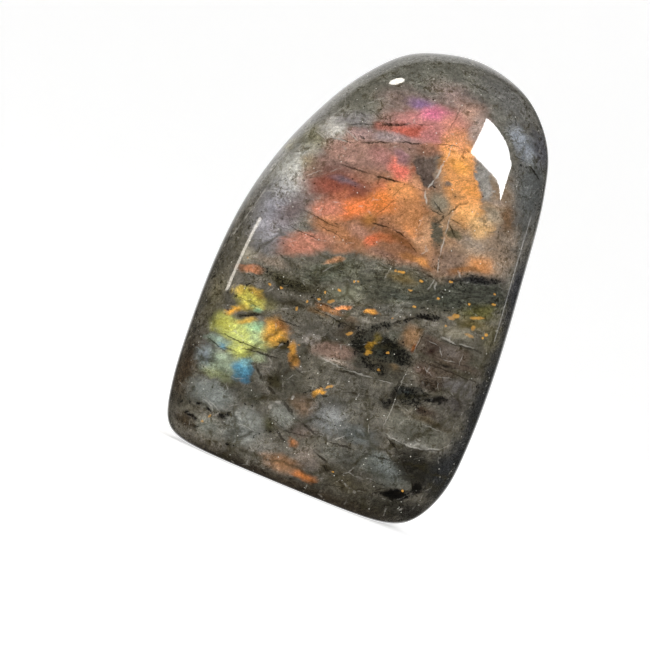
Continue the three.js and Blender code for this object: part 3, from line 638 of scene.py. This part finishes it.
stoneLook = {
    "stretch": 1.026,       # the face stands nearer to the eye than the plane its places were read on
    "ground": ("#5a564b", "#46433a", "#77726a"),        # middle, dark and pale
    "groundHigh": ("#69665c", "#535046", "#84817a"),    # the same in the upper half
    "darkVein": "#1d1911",
    "oliveVein": "#3a3520",
    "paleVein": "#c3bfb6",
    "grain": "#0d0c09",
    "gold": "#e0a54b",
    "shade": (0.42, 0.38, 0.27, 1),     # what the gaps and the dark clouds multiply by
    # small pale specks strewn over the face
    "dust": ("#d8d6cc", 1.1, 0.16, 0.16),       # colour, specks to the millimetre, size, share of them seen
    # painted shade: dark specks standing for the shade inside tiny pits of the polish
    "pits": ("#14120e", 0.9, 0.16, 0.14),
    "roughness": 0.03,
    "ior": 1.56,
    # how strong each layer is
    "lift": 0.35,
    "threads": 0.95,
    "filaments": 0.6,
    "leastThreads": 0.15,
    "gaps": 0.8,
    "darkClouds": 0.75,
    "paleClouds": 1.45,
    "cloudsInGlow": 0.35,
    "seams": 0.6,
    "paleHair": 0.4,
    "darkHair": 0.5,
    "leastVein": 0.5,
    "paleVeins": 0.75,
    "grains": 0.92,
    "strayGrains": 0.08,
    "crowding": 0.27,
    # how far edges are pushed, how wide lines are and how soft edges are
    "splinterPush": (0.8, 0.4, 0),
    "ragged": 0.16,
    "threadWidth": 0.035,
    "filamentWidth": 0.03,
    "lamellaClimb": 50,     # degrees
    "plateSoftness": 0.25,
    "areaEdge": 0.2,
    "strokeEdge": 0.1,
    "goldEdge": 0.3,
    "speckEdge": 0.5,
    "speckFade": 0.8,
    # how dark and how light each layer turns the stone
    "tones": {"cell": (0.72, 1.1), "band": (0.45, 1.5), "lamella": (0.78, 1.24), "plate": (0.86, 1.12),
              "fine": (0.5, 1.45), "sugar": (0.76, 1.24), "streak": (0.86, 1.12)},
    # scale to the millimetre, detail, roughness, distortion
    "noise": {"streak": (1.0, 4.0, 0.65), "fine": (1.6, 8.0, 0.78), "mottle": (0.35, 7.0, 0.7),
              "lift": (0.12, 3.0), "feather": (0.75, 6.0, 0.72, 0.9), "filament": (1.3, 5.0, 0.7, 0.6),
              "threadRoom": (0.22, 3.0, 0.6), "clouds": (0.75, 9.0, 0.74), "seamRoom": (0.13, 2.0),
              "band": (1.0, 7.0, 0.72), "lamella": (1.0, 5.0, 0.7), "sugar": (4.2, 4.0, 0.7),
              "broken": (0.45, 4.0, 0.7), "patchy": (1.3, 4.0, 0.7), "grit": (1.9, 6.0, 0.8)},
    # how edges wander: scale to the millimetre, reach, detail
    "wander": {"broad": (0.16, 2.2), "patch": (1.1, 0.55, 4.0), "vein": (0.25, 1.1),
               "veinFine": (1.2, 0.7, 3.0), "feather": (0.6, 1.5), "filament": (1.1, 0.9),
               "clouds": (0.4, 1.6), "cell": (0.3, 3.0, 3.0), "band": (0.5, 1.2), "crack": (0.7, 0.8),
               "gold": (1.6, 0.6)},
    # how a pattern is squeezed along the cleavage, across it and in depth
    "squeeze": {"splinter": (0.3, 0.8, 0.5), "streak": (0.3, 2.4, 0.6), "cell": (0.07, 0.105, 0.08),
                "band": (0.35, 1.3, 0.6), "lamella": (0.2, 2.4, 0.5), "plate": (0.13, 0.3, 0.2),
                "crack": (0.09, 0.17, 0.1)},
    # where a layer starts and where it is full; the last three in millimetres up, up and back
    "spread": {"ragged": (0.25, 0.75), "lift": (0.35, 0.65), "mottleDark": (0.5, 0.34),
               "mottlePale": (0.52, 0.68), "gap": (0.5, 0.38), "threadRoom": (0.4, 0.6),
               "cloudDark": (0.5, 0.33), "cloudPale": (0.52, 0.68), "seamRoom": (0.4, 0.6),
               "seam": (0.0, 0.06), "seamHigh": (0.3, 0.0), "cell": (0.0, 0.3), "band": (0.34, 0.66),
               "lamella": (0.3, 0.7), "plate": (0.1, 0.9), "fine": (0.3, 0.7), "sugar": (0.3, 0.7),
               "streak": (0.28, 0.72), "hairline": (0.0, 0.022), "hairPale": (0.5, 0.68),
               "hairDark": (0.48, 0.34), "patchy": (0.3, 0.55), "grains": (0.73, 0.775),
               "high": (42, 62), "lowDown": (38, 30), "front": (1.5, -5.0)},
}

# How a row's softness fades its patch, in half sizes: so far inwards and so far outwards
patchFade = {"inwards": 1.35, "outwards": 0.7}
patchDefaults = (0.9, 0.6, 0.0)     # strength, softness and boxiness, where a row leaves them out
strokeWidening = 1.3                # a stroke is drawn wider than its row says, for its soft edge


def placeOf(row):
    across, up, halfAcross, halfUp, turn = row[:5]
    cosine, sine = math.cos(math.radians(turn)), math.sin(math.radians(turn))
    return {"Centre": (across, up, 0), "Along": (cosine / halfAcross, sine / halfAcross, 0),
            "Aside": (-sine / halfUp, cosine / halfUp, 0)}


def strokeOf(row):
    fromAcross, fromUp, toAcross, toUp, halfWidth = row[:5]
    run = Vector((toAcross - fromAcross, toUp - fromUp))
    turn = math.degrees(math.atan2(run.y, run.x))
    middle = (fromAcross + toAcross) / 2, (fromUp + toUp) / 2
    return placeOf((*middle, run.length / 2, strokeWidening * halfWidth, turn))


def layPatches(tree, place, ragged, under, patches, group):
    for name, *row in patches:
        given = row[6:]
        strength, softness, boxiness = (*given, *patchDefaults[len(given):])
        values = {**placeOf(row), "Place": place, "Under": under, "Colour": colour(row[5]),
                  "Strength": strength, "Inner": max(1 - patchFade["inwards"] * softness, 0),
                  "Outer": 1 + patchFade["outwards"] * softness, "Boxy": boxiness, "Ragged": ragged}
        under = addNode(tree, "ShaderNodeGroup", values, node_tree=group, label=name).outputs[0]
    return under


def gatherFlecks(tree, place, rows, group, inner, shape=placeOf):
    soFar = 0.0
    for row in rows:
        values = {**shape(row), "Place": place, "SoFar": soFar, "Strength": row[5], "Inner": inner}
        soFar = addNode(tree, "ShaderNodeGroup", values, node_tree=group).outputs[0]
    return soFar


# Places in millimetres: across, up and depth, as they look from the front
def facePlace(tree, look):
    spot = addNode(tree, "ShaderNodeTexCoord").outputs["Object"]
    parts = addNode(tree, "ShaderNodeSeparateXYZ", {0: spot}).outputs
    turned = addNode(tree, "ShaderNodeCombineXYZ", {0: parts[0], 1: parts[2], 2: parts[1]}).outputs[0]
    stretch = look["stretch"]
    aim = (cameraSettings["aimAcross"] * 1000, cameraSettings["aimUp"] * 1000)
    values = {"Vector": turned, "Location": (aim[0] * (1 - stretch), aim[1] * (1 - stretch), 0),
              "Scale": (1000 * stretch, 1000 * stretch, 1000)}
    return addNode(tree, "ShaderNodeMapping", values).outputs[0]


# A place pushed about by noise, so that edges wander as they do in stone
def wander(tree, place, scale, reach, detail=2.0):
    push = vectorCalc(tree, "SUBTRACT", noise(tree, place, scale, detail).outputs["Color"], (0.5, 0.5, 0.5))
    return vectorCalc(tree, "ADD", place, vectorCalc(tree, "MULTIPLY", push, (reach, reach, reach)))


# Places turned to run along the cleavage, which climbs to the right, and squeezed
def alongCleavage(tree, place, squeeze, climb=18):
    turned = addNode(tree, "ShaderNodeMapping", {"Vector": place, "Rotation": (0, 0, math.radians(climb))},
                     vector_type="TEXTURE").outputs[0]
    return vectorCalc(tree, "MULTIPLY", turned, squeeze)


def part(tree, place, axis):
    return addNode(tree, "ShaderNodeSeparateXYZ", {0: place}).outputs[axis]


def times(tree, first, *others):
    for other in others:
        first = calc(tree, "MULTIPLY", first, other)
    return first


def tint(tree, body, tone, amount=1.0):
    return blend(tree, amount, body, tone, "MULTIPLY")


# A thin line wherever the value passes one half
def lineAtHalf(tree, value, width, strength):
    away = calc(tree, "ABSOLUTE", calc(tree, "SUBTRACT", value, 0.5))
    return ramp(tree, away, 0.0, width, strength, 0.0)


# The three below take their numbers from the look, by name
def pattern(tree, look, name, place):
    return noise(tree, place, *look["noise"][name]).outputs["Fac"]


def drift(tree, look, name, place):
    return wander(tree, place, *look["wander"][name])


def spread(tree, look, name, value, low=0.0, high=1.0, smooth=True):
    return ramp(tree, value, *look["spread"][name], low, high, smooth)


# Cells, plates or splinters, stretched along the cleavage
def plates(tree, look, name, place, output, feature="F1", **values):
    values = {"Vector": alongCleavage(tree, place, look["squeeze"][name]), "Scale": 1.0, **values}
    return addNode(tree, "ShaderNodeTexVoronoi", values, feature=feature).outputs[output]


# Ground mass: paler towards the top of the arch
def layGround(tree, look, place, broad, high):
    mottle = pattern(tree, look, "mottle", broad)
    lift = spread(tree, look, "lift", pattern(tree, look, "lift", place))
    middle, dark, pale = (blend(tree, high, colour(low), colour(top))
                          for low, top in zip(look["ground"], look["groundHigh"]))
    ground = blend(tree, spread(tree, look, "mottleDark", mottle), middle, dark)
    ground = blend(tree, spread(tree, look, "mottlePale", mottle), ground, pale)
    return blend(tree, times(tree, lift, look["lift"]), ground, pale)


# Feathery pale threads with darker gaps, strong in the grey crown and faint in the flash, and clouds
def layFeathers(tree, look, body, place, broad, dull):
    feather = pattern(tree, look, "feather", drift(tree, look, "feather", place))
    filament = pattern(tree, look, "filament", drift(tree, look, "filament", place))
    thread = calc(tree, "MAXIMUM", lineAtHalf(tree, feather, look["threadWidth"], 1.0),
                  lineAtHalf(tree, filament, look["filamentWidth"], look["filaments"]))
    room = spread(tree, look, "threadRoom", pattern(tree, look, "threadRoom", broad), look["leastThreads"])
    room = times(tree, room, dull)
    threads = times(tree, thread, room)
    body = tint(tree, body, calc(tree, "MULTIPLY_ADD", threads, look["threads"], 1.0))
    gap = spread(tree, look, "gap", feather)
    body = tint(tree, body, look["shade"], times(tree, gap, room, look["gaps"]))
    clouds = pattern(tree, look, "clouds", drift(tree, look, "clouds", broad))
    darkCloud = times(tree, spread(tree, look, "cloudDark", clouds, 0.0, look["darkClouds"]), dull)
    body = tint(tree, body, look["shade"], darkCloud)
    return tint(tree, body, spread(tree, look, "cloudPale", clouds, 1.0, look["paleClouds"]))


# Grey cells low on the stone, lighter inside, with olive seams between them
def layCells(tree, look, body, place, broad, high, lowDown):
    cells = plates(tree, look, "cell", drift(tree, look, "cell", broad), "Distance", "DISTANCE_TO_EDGE")
    seamRoom = spread(tree, look, "seamRoom", pattern(tree, look, "seamRoom", place))
    seamRoom = times(tree, seamRoom, spread(tree, look, "seamHigh", high))
    seam = times(tree, spread(tree, look, "seam", cells, look["seams"], 0.0), seamRoom)
    body = blend(tree, seam, body, colour(look["oliveVein"]))
    return tint(tree, body, spread(tree, look, "cell", cells, *look["tones"]["cell"]), lowDown)


# Hairline cracks between the plates, pale where light catches them
def layHairlines(tree, look, body, place, broad):
    edges = plates(tree, look, "crack", drift(tree, look, "crack", broad), "Distance", "DISTANCE_TO_EDGE")
    hairline = spread(tree, look, "hairline", edges, 1.0, 0.0)
    broken = pattern(tree, look, "broken", place)
    for name, amount, vein in (("hairPale", "paleHair", "paleVein"), ("hairDark", "darkHair", "darkVein")):
        hair = times(tree, hairline, spread(tree, look, name, broken, 0.0, look[amount]))
        body = blend(tree, hair, body, colour(look[vein]))
    return body


# Round specks strewn evenly, a share of them seen
def laySpecks(tree, look, name, body, place):
    code, scale, size, share = look[name]
    spots = addNode(tree, "ShaderNodeTexVoronoi", {"Vector": place, "Scale": scale}).outputs
    picked = ramp(tree, part(tree, spots["Color"], 0), 1 - share, 1 - share * look["speckFade"])
    disc = ramp(tree, spots["Distance"], size, size * look["speckEdge"])
    return blend(tree, times(tree, disc, picked), body, colour(code))


def makeLabradorite(look):
    material = bpy.data.materials.new("labradorite")
    material.use_nodes = True
    tree = material.node_tree
    shader = tree.nodes["Principled BSDF"]
    patchGroup = makePatchGroup()
    fleckGroup = makeFleckGroup()

    place = facePlace(tree, look)
    broad = drift(tree, look, "broad", place)
    push = vectorCalc(tree, "SUBTRACT", plates(tree, look, "splinter", broad, "Color"), (0.5, 0.5, 0.5))
    splintered = vectorCalc(tree, "ADD", broad, vectorCalc(tree, "MULTIPLY", push, look["splinterPush"]))
    patchPlace = drift(tree, look, "patch", splintered)
    veinPlace = drift(tree, look, "veinFine", drift(tree, look, "vein", place))
    streak = pattern(tree, look, "streak", alongCleavage(tree, broad, look["squeeze"]["streak"]))
    fine = pattern(tree, look, "fine", place)
    ragged = spread(tree, look, "ragged", fine, -look["ragged"], look["ragged"], False)
    up = part(tree, broad, 1)
    high = spread(tree, look, "high", up)
    front = spread(tree, look, "front", part(tree, broad, 2))
    back = calc(tree, "SUBTRACT", 1.0, front)
    glow = gatherFlecks(tree, broad, glowAreas, fleckGroup, look["areaEdge"])
    dull = ramp(tree, glow, 0.0, 1.0, 1.0, look["cloudsInGlow"], False)
    lowDown = times(tree, spread(tree, look, "lowDown", up), dull)

    # the colours of the face and of the back
    ground = layGround(tree, look, place, broad, high)
    face, rear = (layPatches(tree, patchPlace, ragged, ground, patches, patchGroup)
                  for patches in (facePatches, backPatches))
    body = blend(tree, front, rear, face)
    body = layFeathers(tree, look, body, place, broad, dull)
    body = layCells(tree, look, body, place, broad, high, lowDown)

    # the dark band flows along the cleavage, and lamellae cross the flash
    squeeze, tones = look["squeeze"], look["tones"]
    bandPlace = alongCleavage(tree, drift(tree, look, "band", place), squeeze["band"])
    flow = spread(tree, look, "band", pattern(tree, look, "band", bandPlace), *tones["band"])
    inBand = times(tree, gatherFlecks(tree, broad, bandAreas, fleckGroup, look["areaEdge"]), front)
    body = tint(tree, body, flow, inBand)
    crossing = alongCleavage(tree, broad, squeeze["lamella"], look["lamellaClimb"])
    lamella = pattern(tree, look, "lamella", crossing)
    body = tint(tree, body, spread(tree, look, "lamella", lamella, *tones["lamella"], False), glow)

    # plates of feldspar, a fine mottling and the streaks
    plate = plates(tree, look, "plate", broad, "Color", "SMOOTH_F1", Smoothness=look["plateSoftness"])
    layers = {"plate": part(tree, plate, 0), "fine": fine, "sugar": pattern(tree, look, "sugar", place),
              "streak": streak}
    for name, value in layers.items():
        body = tint(tree, body, spread(tree, look, name, value, *tones[name], False))
    body = layHairlines(tree, look, body, place, broad)

    # veins and cracks
    patchy = spread(tree, look, "patchy", pattern(tree, look, "patchy", place), look["leastVein"])
    kinds = ((darkVeins, "darkVein", (front,)), (paleVeins, "paleVein", (front, look["paleVeins"])),
             (backVeins, "oliveVein", (back,)))
    for rows, vein, limits in kinds:
        strokes = gatherFlecks(tree, veinPlace, rows, fleckGroup, look["strokeEdge"], strokeOf)
        body = blend(tree, times(tree, strokes, patchy, *limits), body, colour(look[vein]))

    # black grains, crowded where the list says and scattered thinly all over
    crowd = times(tree, gatherFlecks(tree, patchPlace, blackCrowds, fleckGroup, look["strokeEdge"]), front)
    crowd = calc(tree, "MAXIMUM", crowd, look["strayGrains"])
    density = calc(tree, "MULTIPLY_ADD", crowd, look["crowding"], pattern(tree, look, "grit", place))
    grains = times(tree, spread(tree, look, "grains", density), look["grains"])
    body = blend(tree, grains, body, colour(look["grain"]))
    # pale specks, then dark specks painted as shade in tiny pits
    for name in ("dust", "pits"):
        body = laySpecks(tree, look, name, body, place)

    flecks = gatherFlecks(tree, drift(tree, look, "gold", place), goldFlecks, fleckGroup, look["goldEdge"])
    body = blend(tree, times(tree, flecks, patchy, front), body, colour(look["gold"]))

    tree.links.new(body, shader.inputs["Base Color"])
    shader.inputs["Roughness"].default_value = look["roughness"]
    shader.inputs["IOR"].default_value = look["ior"]
    print("labradorite mixed:", len(tree.nodes), "nodes")
    return material


# A pale sheet under the stone that curves up behind it, so that no horizon shows
sweepSettings = {
    "width": 5.0,
    "front": -0.9,
    "back": 1.4,
    "height": 2.4,
    "bend": 0.7,
    "bendSteps": 16,
    "tone": 0.9,
    "roughness": 0.9,
    "glow": 0.62,           # keeps it near white without strong lamps
}


def makeSweep(settings):
    depth = settings["back"] - settings["front"]
    middle = (settings["back"] + settings["front"]) / 2
    bpy.ops.mesh.primitive_plane_add(size=1)
    sweep = bpy.context.object
    sweep.name = "paleSweep"
    size = Matrix.Diagonal((settings["width"], depth, 1, 1))
    sweep.data.transform(Matrix.Translation((0, middle, 0)) @ size)
    bpy.ops.object.mode_set(mode="EDIT")
    bpy.ops.mesh.select_all(action="DESELECT")
    bpy.ops.mesh.select_mode(type="EDGE")
    bpy.ops.object.mode_set(mode="OBJECT")
    for edge in sweep.data.edges:
        edge.select = all(sweep.data.vertices[v].co.y > middle for v in edge.vertices)
    bpy.ops.object.mode_set(mode="EDIT")
    bpy.ops.mesh.extrude_region_move(TRANSFORM_OT_translate={"value": (0, 0, settings["height"])})
    bpy.ops.object.mode_set(mode="OBJECT")
    bend = sweep.modifiers.new("bend", "BEVEL")
    bend.width = settings["bend"]
    bend.segments = settings["bendSteps"]
    bpy.ops.object.modifier_apply(modifier=bend.name)
    bpy.ops.object.shade_smooth()
    material = bpy.data.materials.new("paleSweep")
    material.use_nodes = True
    shader = material.node_tree.nodes["Principled BSDF"]
    shader.inputs["Base Color"].default_value = (settings["tone"],) * 3 + (1,)
    shader.inputs["Roughness"].default_value = settings["roughness"]
    shader.inputs["Emission Color"].default_value = (1, 1, 1, 1)
    shader.inputs["Emission Strength"].default_value = settings["glow"]
    sweep.data.materials.append(material)
    sweep.visible_glossy = False    # the polish shows the dark room, not the sheet


# Soft boxes round the stone: degrees round from the camera side and up, distance, size, radiance
softBoxes = {
    "window": {"round": 24, "up": 27.5, "turn": -18, "distance": 0.8, "size": (0.245, 0.116),
               "radiance": 24, "shown": True},
    "sideStrip": {"round": -80, "up": 2.5, "turn": 0, "distance": 0.8, "size": (0.11, 0.17),
                  "radiance": 8, "shown": True, "tint": (1, 0.93, 0.82)},
    "smallLamp": {"round": -66, "up": 50, "turn": 0, "distance": 0.8, "size": (0.27, 0.07), "radiance": 15,
                  "shown": True, "shape": "ELLIPSE", "tint": (1, 0.96, 0.86)},
    "farStrip": {"round": 119, "up": 9, "turn": 0, "distance": 0.8, "size": (0.03, 0.12), "radiance": 2,
                 "shown": True},
    "frontFill": {"round": 0, "up": 30, "turn": 0, "distance": 1.1, "size": (0.9, 0.9), "radiance": 1.16,
                  "shown": False},
    "topFill": {"round": 0, "up": 80, "turn": 0, "distance": 1.2, "size": (1.4, 1.0), "radiance": 0.44,
                "shown": False},
}


def makeLights(boxes):
    target = Vector((0, 0, (cadLow.z + cadHigh.z) / 2))
    for name, box in boxes.items():
        around = math.radians(box["round"])
        up = math.radians(box["up"])
        away = Vector((math.sin(around) * math.cos(up), -math.cos(around) * math.cos(up), math.sin(up)))
        facing = away.to_track_quat("Z", "Y") @ Quaternion((0, 0, 1), math.radians(box["turn"]))
        bpy.ops.object.light_add(type="AREA", location=target + away * box["distance"],
                                 rotation=facing.to_euler())
        light = bpy.context.object
        light.name = name
        light.data.shape = box.get("shape", "RECTANGLE")
        light.data.size, light.data.size_y = box["size"]
        light.data.energy = box["radiance"] * math.pi * box["size"][0] * box["size"][1]
        light.data.color = box.get("tint", (1, 1, 1))
        light.visible_glossy = box["shown"]


# The room: white behind and above the stone, dark in front of it so that the polish stays deep
roomSettings = {
    "dim": 0.04,
    "towards": (-0.30, 0.79, 0.53),     # the middle of the white part
    "spread": (0.82, 0.93),             # where it starts and is full
    "grazing": (0.88, 0.97),            # straight behind the stone it is white all the way down
}


def makeRoom(settings):
    world = bpy.data.worlds.new("studio")
    scene.world = world
    world.use_nodes = True
    tree = world.node_tree
    background = tree.nodes["Background"]
    facing = addNode(tree, "ShaderNodeTexCoord").outputs["Generated"]
    turned = vectorCalc(tree, "DOT_PRODUCT", facing, settings["towards"])
    away = addNode(tree, "ShaderNodeSeparateXYZ", {0: facing}).outputs[1]
    behind = ramp(tree, turned, *settings["spread"], settings["dim"], 1.0)
    grazing = ramp(tree, away, *settings["grazing"])
    glow = calc(tree, "MAXIMUM", behind, grazing)
    seen = addNode(tree, "ShaderNodeLightPath").outputs["Is Camera Ray"]
    tree.links.new(calc(tree, "MAXIMUM", glow, seen), background.inputs["Strength"])
    background.inputs["Color"].default_value = (1, 1, 1, 1)


makeCamera(cameraSettings)
stone = makeStone(stoneSettings)
stone.data.materials.append(makeLabradorite(stoneLook))
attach(stone, "root")
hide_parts("labradorite")
makeSweep(sweepSettings)
makeLights(softBoxes)
makeRoom(roomSettings)
scene.view_settings.view_transform = "Standard"
print("studio lit")
